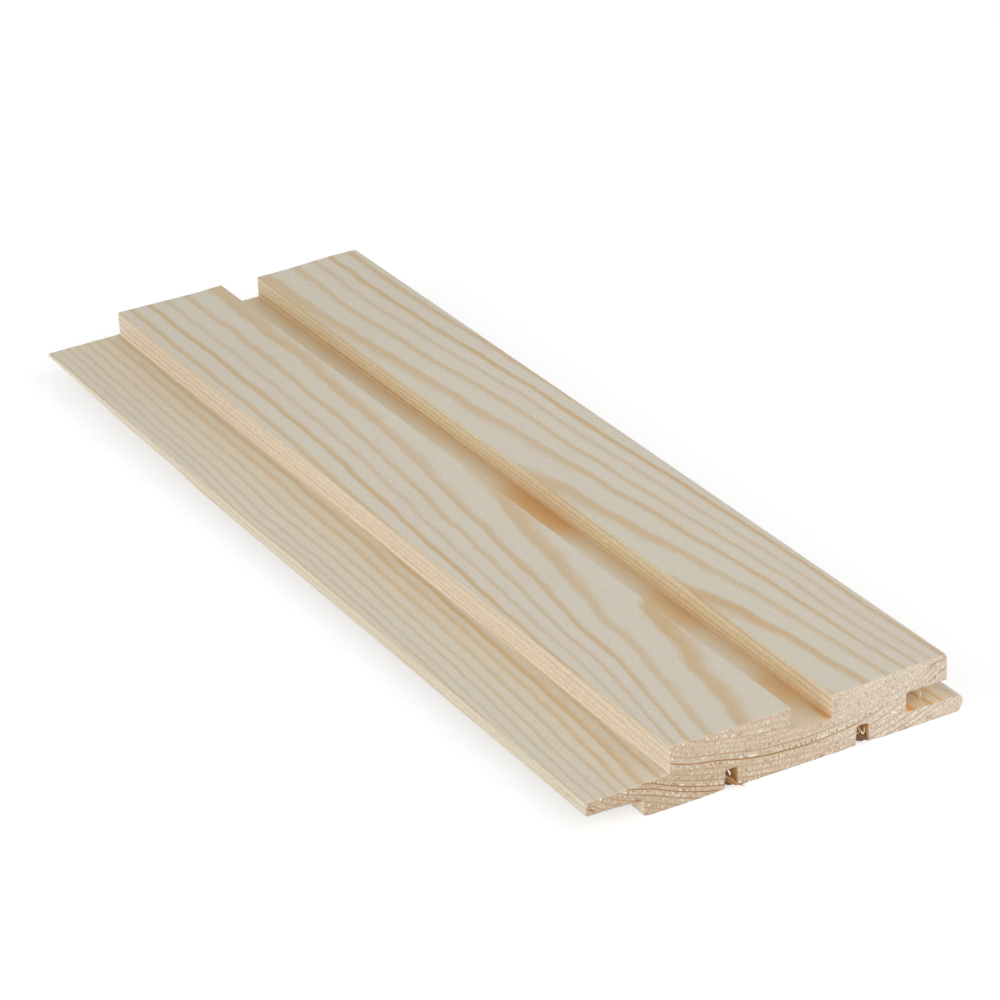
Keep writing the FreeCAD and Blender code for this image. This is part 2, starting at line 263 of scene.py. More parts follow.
def section_corners():
    """Sharp corners of the section as (y, z, radius), going round from the tongue's tip."""
    kerf_half = KERF_WIDTH / 2
    corners = [
        (TIP, TONGUE_TOP - TONGUE_TOP_FALL, TONGUE_EDGE_RADIUS),
        (SLAT_1_LEFT, TONGUE_TOP, SLAT_FOOT_RADIUS),
        (SLAT_1_LEFT, THICKNESS, SLAT_EDGE_RADIUS),
        (SLAT_1_RIGHT, THICKNESS, SLAT_EDGE_RADIUS),
        (SLAT_1_RIGHT, FACE_GROOVE_FLOOR, SLAT_FOOT_RADIUS),
        (SLAT_2_LEFT, FACE_GROOVE_FLOOR, SLAT_FOOT_RADIUS),
        (SLAT_2_LEFT, THICKNESS, SLAT_EDGE_RADIUS),
        (SLAT_2_RIGHT, THICKNESS, SLAT_EDGE_RADIUS),
        (SLAT_2_RIGHT, GROOVE_CEILING, UPPER_LIP_RADIUS),
        (GROOVE_BOTTOM, GROOVE_CEILING, GROOVE_CORNER_RADIUS),
        (GROOVE_BOTTOM, LIP_TOP, GROOVE_CORNER_RADIUS),
        (LIP_END, LIP_TOP, LIP_FACE_RADIUS),
        (LIP_END, 0, LIP_BACK_RADIUS),
    ]
    for middle in reversed(KERFS):
        corners += [
            (middle + kerf_half, 0, KERF_EDGE_RADIUS),
            (middle + kerf_half, KERF_DEPTH, KERF_CORNER_RADIUS),
            (middle - kerf_half, KERF_DEPTH, KERF_CORNER_RADIUS),
            (middle - kerf_half, 0, KERF_EDGE_RADIUS),
        ]
    corners += [
        (REBATE_WALL, 0, REBATE_EDGE_RADIUS),
        (REBATE_WALL, TONGUE_UNDERSIDE, REBATE_CORNER_RADIUS),
        (TIP, TONGUE_UNDERSIDE + TONGUE_BACK_RISE, TONGUE_EDGE_RADIUS),
    ]
    return corners


def corner_arc(before, corner, after, radius):
    """Points of the arc that rounds one corner."""
    to_before = (before - corner).normalized()
    to_after = (after - corner).normalized()
    half_angle = to_before.angle(to_after) / 2
    middle = corner + (to_before + to_after).normalized() * radius / math.sin(half_angle)
    reach = radius / math.tan(half_angle)
    first = corner + to_before * reach - middle
    last = corner + to_after * reach - middle
    turn = math.atan2(first.x * last.y - first.y * last.x, first.dot(last))
    points = []
    for step in range(ARC_STEPS + 1):
        points.append(middle + Matrix.Rotation(turn * step / ARC_STEPS, 2) @ first)
    return points


def section_outline():
    """The section's outline as (y, z) vectors, with arcs at its corners and short steps between."""
    corners = section_corners()
    count = len(corners)
    places = [Vector(corner[:2]) for corner in corners]
    arcs = [
        corner_arc(places[i - 1], places[i], places[(i + 1) % count], corners[i][2])
        for i in range(count)
    ]
    points = []
    for index, arc in enumerate(arcs):
        points += arc
        start, end = arc[-1], arcs[(index + 1) % count][0]
        steps = max(1, round((end - start).length / SECTION_STEP))
        points += [start.lerp(end, step / steps) for step in range(1, steps)]
    return points


def inward_normals(points):
    """Unit vectors that point into the section at each of its points."""
    normals = []
    for index in range(len(points)):
        along = points[(index + 1) % len(points)] - points[index - 1]
        normals.append(Vector((along.y, -along.x)).normalized())
    return normals


def ring_radius(place):
    """Distance of a place from the pith, with the rings' bulges taken off."""
    s = place.x / HALF_LENGTH
    pith_y, pith_z = (a + b * s + c * s * s for a, b, c in (PITH_Y, PITH_Z))
    radius = math.hypot(place.y - pith_y, place.z - pith_z)
    for middle, reach, distance in RING_PUSHES:
        square = sum(((place[i] - middle[i]) / reach[i]) ** 2 for i in range(3))
        radius -= distance * math.exp(-square)
    return radius


def ring_phase(place):
    """How far a place is through its annual ring, from 0 to 1, with the latewood at 1."""
    left = ring_radius(place) - FIRST_RING
    for width in RING_WIDTHS:
        if left < width:
            break
        left -= width
    return left / width


def arris_wear(place, chance):
    """How much of the sharp edge at a sawn end is gone: less where the hard latewood is."""
    soft = math.sin(math.pi * ring_phase(place)) ** 2
    from_softness = ARRIS_SOFT * soft * chance.random()
    from_chance = ARRIS_CHANCE * chance.random()
    worn = ARRIS * (ARRIS_ALWAYS + from_softness + from_chance)
    if place.x > 0:
        for y, z, reach, depth in END_CHIPS:
            away = math.hypot(place.y - y, place.z - z) / reach
            worn += depth * math.exp(-away * away)
    return worn


def waned(place):
    """A place of the section, lifted where wane has taken the tongue's lower edge away."""
    is_low = TONGUE_UNDERSIDE - TOLERANCE < place.z < TONGUE_TOP - WANE_FROM_TOP
    if not is_low or place.y > REBATE_WALL - WANE_FROM_WALL:
        return place
    for (start, first), (end, second) in zip(WANE, WANE[1:]):
        if start <= place.x < end:
            left = first + (second - first) * (place.x - start) / (end - start)
            lowest = TONGUE_TOP - TONGUE_TOP_FALL - left - (place.y - TIP) * WANE_SLOPE
            return Vector((place.x, place.y, max(place.z, lowest)))
    return place


def warped(place):
    """A place of the board, moved to where the wood has gone since it was planed."""
    moved = place.copy()
    for middle, reach, across, up in WARPS:
        square = sum(((place[i] - middle[i]) / reach[i]) ** 2 for i in range(3))
        moved += Vector((0, across, up)) * math.exp(-square)
    return moved


def board_stations():
    """Distances from the board's middle to its stations, with the easing of those at the ends.

    An easing is the side that the end is on, and how far back and how far in the arris is worn.
    """
    inner = HALF_LENGTH - 2 * ARRIS
    steps = round(2 * inner / LENGTH_STEP)
    stations = [(-inner + 2 * inner * step / steps, None) for step in range(steps + 1)]
    far = [(-HALF_LENGTH, (-1, back, inset)) for back, inset in ARRIS_PROFILE]
    near = [(HALF_LENGTH, (1, back, inset)) for back, inset in reversed(ARRIS_PROFILE)]
    return far + stations + near


def join_rows(mesh, rows):
    """Faces all the way round, from each row of points to the next."""
    for first, second in zip(rows, rows[1:]):
        for i in range(len(first)):
            j = (i + 1) % len(first)
            mesh.faces.new((first[i], first[j], second[j], second[i]))


def board_mesh():
    """The board's mesh: its section carried along its length, with worn arrises at the ends."""
    chance = random.Random(RANDOM_SEED)
    outline = section_outline()
    normals = inward_normals(outline)
    wear = {
        side: [arris_wear(Vector((side * HALF_LENGTH, p.x, p.y)), chance) for p in outline]
        for side in (-1, 1)
    }
    mesh = bmesh.new()
    rows = []
    for x, easing in board_stations():
        row = []
        for index, point in enumerate(outline):
            place, across = x, point
            if easing:
                side, back, inset = easing
                amount = wear[side][index]
                place = x - side * back * amount
                across = point + normals[index] * inset * amount
            spot = warped(waned(Vector((place, across.x, across.y))))
            row.append(mesh.verts.new(spot * MM))
        rows.append(row)
    join_rows(mesh, rows)
    for side, row in ((-1, rows[0]), (1, rows[-1])):
        add_sawn_end(mesh, row, side, chance)
    bmesh.ops.recalc_face_normals(mesh, faces=mesh.faces)
    return finished_mesh("board_timber", mesh)


def add_sawn_end(mesh, row, side, chance):
    """Close one end with small triangles, a little uneven from the saw."""
    edge = [Vector((vert.co.y, vert.co.z)) / MM for vert in row]
    inner = []
    for step_y in range(int((HIGH.y - LOW.y) / END_STEP)):
        for step_z in range(int(THICKNESS / END_STEP)):
            shift = Vector((chance.uniform(*END_SPREAD), chance.uniform(*END_SPREAD)))
            point = Vector((LOW.y + step_y * END_STEP, step_z * END_STEP)) + shift * END_STEP
            if min((point - spot).length for spot in edge) > END_STEP / 2:
                inner.append(point)
    loop = list(range(len(edge)))
    made = delaunay_2d_cdt(edge + inner, [], [loop], INSIDE_ONLY, END_ACCURACY)
    points, _, faces, origins = made[:4]
    verts = []
    for point, origin in zip(points, origins):
        if origin and origin[0] < len(edge):
            verts.append(row[origin[0]])
        else:
            x = side * (HALF_LENGTH - chance.random() * END_RELIEF)
            verts.append(mesh.verts.new(Vector((x, point.x, point.y)) * MM))
    for face in faces:
        mesh.faces.new([verts[i] for i in face])


def finished_mesh(name, mesh):
    """Turn a bmesh into smooth-shaded data, with its sharp turns kept sharp."""
    data = bpy.data.meshes.new(name)
    mesh.to_mesh(data)
    mesh.free()
    data.polygons.foreach_set("use_smooth", [True] * len(data.polygons))
    data.set_sharp_from_angle(angle=math.radians(SHARP_ANGLE))
    return data


def smooth_line(points, steps):
    """Places on a smooth line that runs through all the points."""
    padded = [points[0], *points, points[-1]]
    line = []
    for first, start, end, last in zip(padded, padded[1:], padded[2:], padded[3:]):
        for step in range(steps):
            t = step / steps
            line.append(
                (start * 2 + (end - first) * t
                 + (first * 2 - start * 5 + end * 4 - last) * t * t
                 + (start * 3 - first - end * 3 + last) * t ** 3) / 2
            )
    return line + [points[-1]]


def strand_mesh(name, width, thickness, twist, points):
    """A strip on a smooth line, flat towards the sawn end and thinner at both its ends."""
    line = smooth_line([Vector(point) for point in points], STRAND_STEPS)
    mesh = bmesh.new()
    rows = []
    for index, place in enumerate(line):
        along = (line[min(index + 1, len(line) - 1)] - line[max(index - 1, 0)]).normalized()
        t = index / (len(line) - 1)
        across = Matrix.Rotation(twist * t, 3, along) @ along.cross(STRAND_FACING).normalized()
        outward = along.cross(across)
        full = max(STRAND_END, math.sin(math.pi * t) ** STRAND_TAPER)
        row = []
        for side in range(STRAND_SIDES):
            angle = math.tau * side / STRAND_SIDES
            shift = across * math.cos(angle) * width + outward * math.sin(angle) * thickness
            row.append(mesh.verts.new((place + shift * full / 2) * MM))
        rows.append(row)
    join_rows(mesh, rows)
    mesh.faces.new(rows[0])
    mesh.faces.new(rows[-1])
    bmesh.ops.recalc_face_normals(mesh, faces=mesh.faces)
    return finished_mesh(name, mesh)


def make_strand_surface(name, colour):
    """A loose strip's surface, a little lighter and darker along its length: torn wood for the pale
    and brown kinds, painted shade for the dark kind.
    """
    wood = Surface(name)
    grain = wood.cells(STRAND_GRAIN, detail=2.0)
    shaded = wood.shade(colour, grain * STRAND_CONTRAST + 1.0)
    return wood.finish(shaded, STRAND_ROUGHNESS, grain * STRAND_RELIEF)


def add_strands():
    """The splinters, shavings and fibres that the cutters and the saw have left, and dark strips of
    painted shade in the kerfs.
    """
    materials = {kind: make_strand_surface(f"{kind}_fibre", colour) for kind, colour in STRAND_COLOURS.items()}
    for name, kind, *shape in STRANDS:
        add_piece(name, strand_mesh(name, *shape), materials[kind])


def add_piece(name, data, material):
    """Put a piece in the scene, on the board's body."""
    piece = bpy.data.objects.new(name, data)
    bpy.context.scene.collection.objects.link(piece)
    data.materials.append(material)
    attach(piece, "root")
    return piece


class Number:
    """A number in a material's node tree, so that its maths reads as plain arithmetic."""

    def __init__(self, tree, socket):
        self.tree = tree
        self.socket = socket

    def math(self, operation, *others, clamp=False):
        """A Math node with this number as its first value."""
        node = self.tree.nodes.new("ShaderNodeMath")
        node.operation = operation
        node.use_clamp = clamp
        for slot, value in zip(node.inputs, (self,) + others):
            feed(self.tree, slot, value)
        return Number(self.tree, node.outputs[0])

    def __add__(self, other):
        return self.math("ADD", other)

    def __sub__(self, other):
        return self.math("SUBTRACT", other)

    def __mul__(self, other):
        return self.math("MULTIPLY", other)

    def __truediv__(self, other):
        return self.math("DIVIDE", other)

    __radd__ = __add__
    __rmul__ = __mul__

    def __rsub__(self, other):
        return self.math("MULTIPLY_ADD", -1.0, other)

    def smooth(self, low, high):
        """Rise softly from 0 at low to 1 at high; with low over high it falls instead."""
        node = self.tree.nodes.new("ShaderNodeMapRange")
        node.interpolation_type = "SMOOTHSTEP"
        falls = low > high
        feed(self.tree, node.inputs["Value"], self)
        node.inputs["From Min"].default_value = min(low, high)
        node.inputs["From Max"].default_value = max(low, high)
        node.inputs["To Min"].default_value = 1.0 if falls else 0.0
        node.inputs["To Max"].default_value = 0.0 if falls else 1.0
        return Number(self.tree, node.outputs["Result"])

    def between(self, start, full, last, end):
        """Rise softly from 0 at start to 1 at full, and fall again from last to end."""
        return self.smooth(start, full) * self.smooth(end, last)

    def near(self, place, full, none):
        """1 up to one distance from a place, falling softly to 0 at the other."""
        return (self - place).math("ABSOLUTE").smooth(none, full)

    def fading(self):
        """1 at 0, and less the greater the number is."""
        return (self * -1.0).math("EXPONENT")

    def clamped(self):
        """The number, kept within 0 and 1."""
        return self.math("ADD", 0.0, clamp=True)

    def curve(self, points):
        """A smooth line through (value, result) points, level beyond its ends."""
        low, high = points[0][0], points[-1][0]
        top = max(result for _, result in points)
        node = self.tree.nodes.new("ShaderNodeFloatCurve")
        feed(self.tree, node.inputs["Value"], (self - low) / (high - low))
        line = node.mapping.curves[0]
        for _ in points[2:]:
            line.points.new(0.5, 0.5)
        for spot, (value, result) in zip(line.points, points):
            spot.location = ((value - low) / (high - low), result / top)
            spot.handle_type = "AUTO_CLAMPED"
        node.mapping.update()
        return Number(self.tree, node.outputs["Value"]) * top


def feed(tree, slot, value):
    """Set a socket to a plain value, or link it to a number or to another socket."""
    if isinstance(value, Number):
        tree.links.new(value.socket, slot)
    elif isinstance(value, bpy.types.NodeSocket):
        tree.links.new(value, slot)
    elif isinstance(value, tuple):
        slot.default_value = (*value, 1.0)
    else:
        slot.default_value = value


class Surface:
    """A material being made, with the places of its surface in millimetres."""

    def __init__(self, name):
        self.material = bpy.data.materials.new(name)
        self.material.use_nodes = True
        self.tree = self.material.node_tree
        self.shader = self.tree.nodes["Principled BSDF"]
        coordinates = self.tree.nodes.new("ShaderNodeTexCoord")
        scaled = self.vector("SCALE", coordinates.outputs["Object"])
        scaled.inputs["Scale"].default_value = 1 / MM
        self.place = scaled.outputs["Vector"]
        self.x, self.y, self.z = self.parts(self.place)
        shape = self.tree.nodes.new("ShaderNodeNewGeometry")
        self.facing_x, self.facing_y, _ = self.parts(shape.outputs["Normal"])

    def vector(self, operation, *values):
        """A Vector Math node."""
        node = self.tree.nodes.new("ShaderNodeVectorMath")
        node.operation = operation
        for slot, value in zip(node.inputs, values):
            if isinstance(value, bpy.types.NodeSocket):
                self.tree.links.new(value, slot)
            else:
                slot.default_value = value
        return node

    def parts(self, vector):
        """The three numbers of a vector."""
        split = self.tree.nodes.new("ShaderNodeSeparateXYZ")
        self.tree.links.new(vector, split.inputs[0])
        return [Number(self.tree, output) for output in split.outputs]

    def noise(self, x, y, z, detail=1.0, roughness=0.5):
        """Soft noise about 0, nearly all of it within -1 and 1, with cells one unit across."""
        joined = self.tree.nodes.new("ShaderNodeCombineXYZ")
        for slot, value in zip(joined.inputs, (x, y, z)):
            feed(self.tree, slot, value)
        node = self.tree.nodes.new("ShaderNodeTexNoise")
        self.tree.links.new(joined.outputs[0], node.inputs["Vector"])
        node.inputs["Scale"].default_value = 1.0
        node.inputs["Detail"].default_value = detail
        node.inputs["Roughness"].default_value = roughness
        return (Number(self.tree, node.outputs[0]) - 0.5) * NOISE_SPREAD

    def cells(self, sizes, detail=1.0, roughness=0.5):
        """The same noise, with cells of these sizes along X, Y and Z."""
        scaled = [place / size for place, size in zip((self.x, self.y, self.z), sizes)]
        return self.noise(*scaled, detail, roughness)

    def bulge(self, middle, reach):
        """1 at a place, falling off to nothing round it."""
        from_middle = self.vector(
            "MULTIPLY_ADD",
            self.place,
            [1 / size for size in reach],
            [-spot / size for spot, size in zip(middle, reach)],
        ).outputs["Vector"]
        square = self.vector("DOT_PRODUCT", from_middle, from_middle).outputs["Value"]
        return Number(self.tree, square).fading()

    def mark(self, middle, reach, tilt):
        """A bulge whose reach across and up is turned about the board's length."""
        turn = math.radians(tilt)
        along = (self.x - middle[0]) / reach[0]
        y, z = self.y - middle[1], self.z - middle[2]
        across = (y * math.cos(turn) + z * math.sin(turn)) / reach[1]
        up = (z * math.cos(turn) - y * math.sin(turn)) / reach[2]
        square = along * along + across * across + up * up
        return (square * square).fading()

    def mix(self, amount, first, second):
        """Blend from the first colour to the second."""
        node = self.tree.nodes.new("ShaderNodeMix")
        node.data_type = "RGBA"
        sockets = [slot for slot in node.inputs if slot.type == "RGBA"]
        feed(self.tree, node.inputs["Factor"], amount)
        feed(self.tree, sockets[0], first)
        feed(self.tree, sockets[1], second)
        return next(slot for slot in node.outputs if slot.type == "RGBA")

    def tint(self, colour, amount, tone):
        """Multiply a colour by a tone, as far as the amount says."""
        part = self.mix(amount, (1.0, 1.0, 1.0), tone)
        return self.vector("MULTIPLY", colour, part).outputs["Vector"]

    def shade(self, colour, amount):
        """Make a colour lighter or darker by a factor."""
        node = self.vector("SCALE", colour)
        feed(self.tree, node.inputs["Scale"], amount)
        return node.outputs["Vector"]

    def finish(self, colour, roughness, height):
        """Feed the shader; the height is in millimetres."""
        bump = self.tree.nodes.new("ShaderNodeBump")
        bump.inputs["Distance"].default_value = MM
        feed(self.tree, bump.inputs["Height"], height)
        self.tree.links.new(bump.outputs["Normal"], self.shader.inputs["Normal"])
        feed(self.tree, self.shader.inputs["Base Color"], colour)
        feed(self.tree, self.shader.inputs["Roughness"], roughness)
        self.shader.inputs["IOR"].default_value = WOOD_IOR
        return self.material


# How far noise about 0.5 is spread, so that it nearly fills the range from -1 to 1
NOISE_SPREAD = 2.6
WOOD_IOR = 1.5

# Colours of the wood, in linear light
EARLYWOOD = (0.607, 0.551, 0.447)
EARLYWOOD_PINK = (0.600, 0.528, 0.432)
LATEWOOD = (0.525, 0.355, 0.165)
GROOVE_LATEWOOD = (0.56, 0.355, 0.14)
END_WOOD = (0.585, 0.495, 0.35)
END_WOOD_PINK = (0.61, 0.445, 0.325)
END_LINE = (0.35, 0.18, 0.057)
END_FLECK = (0.86, 0.80, 0.72)
END_PORE = (0.22, 0.12, 0.06)
BURR = (0.70, 0.61, 0.47)
STAIN = (0.20, 0.09, 0.035)
# Colours of the loose strips: pale and brown for torn wood, dark for the strips of painted shade in
# the kerfs
STRAND_COLOURS = {"pale": (0.76, 0.66, 0.50), "brown": (0.40, 0.19, 0.065), "dark": (0.19, 0.085, 0.03)}
# What each part of the section does to the colour of the faces; most of these tones are painted
# light and shade, as the comments above them say, and the far tone makes the faces darker towards
# the far end
# Painted light: faces that look along Y are lighter than the tops, as the side light falls on them
PAINTED_WALL_LIGHT = (1.26, 1.21, 1.21)
# Painted shade and warm bounce light on the walls of the face groove, from their foot to their top
PAINTED_GROOVE_WALL_FOOT = (1.03, 0.955, 0.765)
PAINTED_GROOVE_WALL_TOP = (0.98, 0.967, 0.855)
# Painted shade in the corner at the second slat's foot
PAINTED_FOOT_SHADE = (0.90, 0.84, 0.80)
# Painted shade along the left arris of each slat, which dims its highlight
PAINTED_ARRIS_SHADE = (0.94, 0.92, 0.87)
TONGUE_TONE = (1.02, 0.99, 0.93)
TIP_TONE = (0.92, 0.93, 0.875)
FAR_TONE = (0.955, 0.95, 0.94)
# Painted light on the floor of the face groove near the first slat, and warmer painted shade
# towards the foot of the second
PAINTED_GROOVE_FLOOR_LIGHT = (1.15, 1.13, 1.06)
PAINTED_GROOVE_FLOOR_SHADE = (1.05, 0.88, 0.66)
GROOVE_MID_TONE = (1.04, 1.07, 1.14)
GROOVE_END_TONE = (0.97, 0.90, 0.88)
# Painted light in the edge groove, warmer deeper in
PAINTED_EDGE_GROOVE_LIGHT = (1.27, 1.13, 0.92)
PAINTED_EDGE_GROOVE_DEEP_LIGHT = (1.49, 1.06, 0.45)
# Painted shade and warm bounce light in the kerfs
PAINTED_KERF_SHADE = (1.02, 0.70, 0.30)
# Painted light on the rebate's wall, which lies in the tongue's shadow
PAINTED_REBATE_LIGHT = (1.14, 1.13, 1.08)
# Tones of the sawn ends, with the places in Y, and in Z where there are any, between which each
# rises from nothing to full: the left side, the right side, the middle's upper and lower parts,
# and the lower lip
END_TONES = (
    ((0.94, 0.93, 0.91), (-12, -32), None),
    ((1.13, 1.21, 1.34), (2, 25), None),
    ((1.03, 1.04, 1.08), (6, 0), (7.5, 10)),
    ((0.95, 0.92, 0.89), (0, -20), (9.5, 7)),
    ((1.07, 1.10, 1.13), (33, 36), (5.5, 4.5)),
)
# Resin-rich patches on the floor of the face groove: middle and reach along X, and strength; and
# how far the streaks draw out their ends
FLOOR_PATCHES = ((16, 16, 0.95), (76, 11, 0.55), (120, 9, 0.62))
PATCH_STREAKS = 4.0
# Small marks: place, reach, tilt about the length in degrees, and strength
MARKS = (
    ((136, 40.1, 13.9), (1, 1.9, 0.2), 23, 0.7),
    ((136, -46.7, 6.0), (1, 0.95, 0.18), -28, 0.8),
    ((128, -48, 6.2), (6, 1, 0.14), 0, 0.35),
    ((128.8, -48, 6.7), (0.3, 1, 0.2), 0, 0.9),
)

# The latewood of a ring on the planed faces, by phase: where it rises and where it falls, how far
# the streaks move either, and by how much they part it
LATEWOOD_RISE = (-0.32, -0.03)
LATEWOOD_FALL = (0.21, 0.04)
RISE_IN_STREAKS = 0.11
FALL_IN_STREAKS = 0.03
STREAK_CONTRAST = 0.16
# What each part of the section adds to the strength of the latewood
WALL_LATEWOOD = -0.48
WALL_2_LATEWOOD = 0.12
LOW_LINE_LATEWOOD = 0.4
TONGUE_LATEWOOD = -0.18
EDGE_GROOVE_LATEWOOD = 0.15
NEAR_END_LATEWOOD = -0.1
# How much broader the latewood is on the tongue, and how much its strength varies along a ring
TONGUE_BROADENING = 0.28
STRENGTH_CONTRAST = 0.25
# How orange the latewood is in the edge groove and on the tongue, against the face groove
EDGE_GROOVE_ORANGE = 0.6
TONGUE_ORANGE = 0.5

# Patches of pinker wood on the planed faces, and their fine texture: cells along each axis, and how
# light and dark they are, which is more on the walls
PATCH_GRAIN = (30, 9, 9)
STREAK_GRAIN = (26, 0.32, 0.32)
FIBRE_TEXTURE = (2.5, 0.22, 0.22)
SPECK_GRAIN = (0.8, 0.5, 0.5)
STREAK_SHADE = 0.014
FIBRE_SHADE = 0.036
SPECK_SHADE = 0.085
WALL_COARSENESS = 0.8
# How much darker still the latewood is on the walls
WALL_LATEWOOD_SHADE = 0.10
# How rough the wood is, what makes it rougher or smoother, and how high its texture stands
ROUGHNESS = 0.52
LATEWOOD_ROUGHNESS = -0.08
FIBRE_TEXTURE_ROUGHNESS = 0.04
END_ROUGHNESS = 0.3
FIBRE_HEIGHT = 0.006
STREAK_HEIGHT = 0.008
END_HEIGHT = 0.06
# How much of the arris of a sawn end the burr's colour covers
BURR_COVER = 0.7
# Loose strips, torn fibre and painted shade alike: their cells along each axis, how light and dark
# they are, how rough, and how high they stand
STRAND_GRAIN = (0.5, 0.4, 0.4)
STRAND_CONTRAST = 0.35
STRAND_ROUGHNESS = 0.7
STRAND_RELIEF = 0.03

# Noises of the end grain: the size of their cells round the pith and outwards. The rows and the
# breaks follow the rings instead, so their second number is how many cells there are to a ring
END_GRAINS = (0.42, 0.45)
END_CELLS = (0.50, 0.80)
END_HUES = (0.9, 0.5)
END_LADDER = (0.6, 2.4)
END_ROWS = (9, 1.4)
END_BREAKS = (2.5, 0.9)
# The dark line of a ring on the sawn ends, by phase: where it rises and where it falls
END_LINE_RISE = (-0.17, -0.03)
END_LINE_FALL = (0.12, 0.04)
# How much the breaks and the grains part the line, and how much of it shows
LINE_IN_BREAKS = 0.7
LINE_IN_GRAINS = 0.35
LINE_COVER = 0.95
# A second, fainter line half way between two rings, on the right
SECOND_LINE = 0.35
# How much the pale flecks and the dark pores cover, and how light and dark the grains and cells are
FLECK_COVER = 0.85
PORE_COVER = 0.6
GRAIN_SHADE = 0.26
CELL_SHADE = 0.09


def ring_number(radius):
    """Number of the annual ring at a radius; the middle of the latewood is a whole number."""
    points = [(FIRST_RING, 0.0)]
    for width in RING_WIDTHS:
        points.append((points[-1][0] + width, points[-1][1] + 1.0))
    return radius.curve(points)


def pith_distances(surface):
    """Distance from the pith, and distance round it, at every place of the board."""
    s = surface.x / HALF_LENGTH
    pith_y, pith_z = ((s * c + b) * s + a for a, b, c in (PITH_Y, PITH_Z))
    up = 0.0
    for middle, reach, _, lift in WARPS:
        up = surface.bulge(middle, reach) * lift + up
    across, down = surface.y + up - pith_y, pith_z - (surface.z - up)
    outward = (across * across + down * down).math("SQRT")
    round_pith = across.math("ARCTAN2", down) * (FIRST_RING + sum(RING_WIDTHS) / 2)
    return outward, round_pith


def latewood(phase, strength, streaks):
    """Latewood on the planed faces: it darkens slowly outwards, in streaks, and stops short."""
    rise = (phase + streaks * RISE_IN_STREAKS).smooth(*LATEWOOD_RISE)
    fall = (phase + streaks * FALL_IN_STREAKS).smooth(*LATEWOOD_FALL)
    return rise * fall * strength * (streaks * STREAK_CONTRAST + (1.0 - STREAK_CONTRAST))


def groove_floor(wood):
    """1 on the floor of the face groove."""
    y, z = wood.y, wood.z
    left, right, floor = SLAT_1_RIGHT, SLAT_2_LEFT, FACE_GROOVE_FLOOR
    across = y.between(left - 0.1, left + 0.2, right - 0.2, right + 0.05)
    return across * z.between(floor - 2, floor - 1, floor + 0.3, floor + 0.7)


def floor_patches(wood, streaks):
    """How much the floor of the face groove is darkened: by resin, in patches with streaky ends,
    and by painted shade in a strip along the second slat's foot near the near end.
    """
    x, y = wood.x + streaks * PATCH_STREAKS, wood.y
    covered = 0.0
    for middle, reach, strength in FLOOR_PATCHES:
        square = ((x - middle) / reach).math("POWER", 2.0)
        covered = (square * square).fading() * strength + covered
    covered = covered * (y.smooth(2, 11) * 0.35 + 0.65)
    # Painted shade along the second slat's foot, near the near end
    foot = wood.x.smooth(122, 130) * y.smooth(11.8, 12.7) * 0.6
    return covered.math("MAXIMUM", foot)


def edge_groove(wood):
    """1 on the floor and walls of the edge groove."""
    y, z = wood.y, wood.z
    across = y.between(GROOVE_BOTTOM - 0.5, GROOVE_BOTTOM, SLAT_2_RIGHT - 2, LIP_END)
    return across * z.between(LIP_TOP - 0.3, LIP_TOP - 0.1, GROOVE_CEILING, GROOVE_CEILING + 0.3)


def face_groove_tones(wood, is_wall):
    """Tones of the groove between the slats, as (amount, tone): painted shade and bounce light on
    its walls, darker and warmer towards their foot; painted light on its floor near the first slat
    and painted shade towards the second, with tones along its length; and a painted shade line at
    the second slat's foot.
    """
    x, y, z = wood.x, wood.y, wood.z
    inside = y.between(SLAT_1_RIGHT - 0.3, SLAT_1_RIGHT, SLAT_2_LEFT + 0.3, SLAT_2_LEFT + 0.5)
    up_the_wall = z.smooth(FACE_GROOVE_FLOOR, THICKNESS - 1)
    paler = x.smooth(126, 132) * y.smooth(12.4, 11.6)
    to_the_foot = y.smooth(7, SLAT_2_LEFT - 0.4) * (1.0 - paler * 0.3)
    on_floor = groove_floor(wood)
    at_foot = y.near(SLAT_2_LEFT, 0.5, 0.8)
    at_foot = at_foot * z.between(6, 7, FACE_GROOVE_FLOOR + 0.6, FACE_GROOVE_FLOOR + 1)
    return [
        (inside * is_wall, wood.mix(up_the_wall, PAINTED_GROOVE_WALL_FOOT, PAINTED_GROOVE_WALL_TOP)),
        (on_floor, wood.mix(to_the_foot, PAINTED_GROOVE_FLOOR_LIGHT, PAINTED_GROOVE_FLOOR_SHADE)),
        (on_floor * x.between(-60, -15, 127, 134), GROOVE_MID_TONE),
        (on_floor * x.smooth(124, 131), GROOVE_END_TONE),
        (at_foot, PAINTED_FOOT_SHADE),
    ]


def tongue_tones(wood):
    """Tones of the tongue's top and of its tip, as (amount, tone)."""
    x, y, z = wood.x, wood.y, wood.z
    on_top = y.between(-46, -30, SLAT_1_LEFT - 0.2, SLAT_1_LEFT + 0.2)
    on_top = on_top * z.smooth(TONGUE_UNDERSIDE - 2, TONGUE_UNDERSIDE - 1)
    on_tip = y.smooth(TIP + 0.7, TIP + 0.4)
    return [
        (on_top, TONGUE_TONE),
        (on_tip * (x.smooth(-120, -40) * 0.5 + 0.5), TIP_TONE),
        ((1.0 - on_tip) * x.smooth(-30, -110), FAR_TONE),
    ]


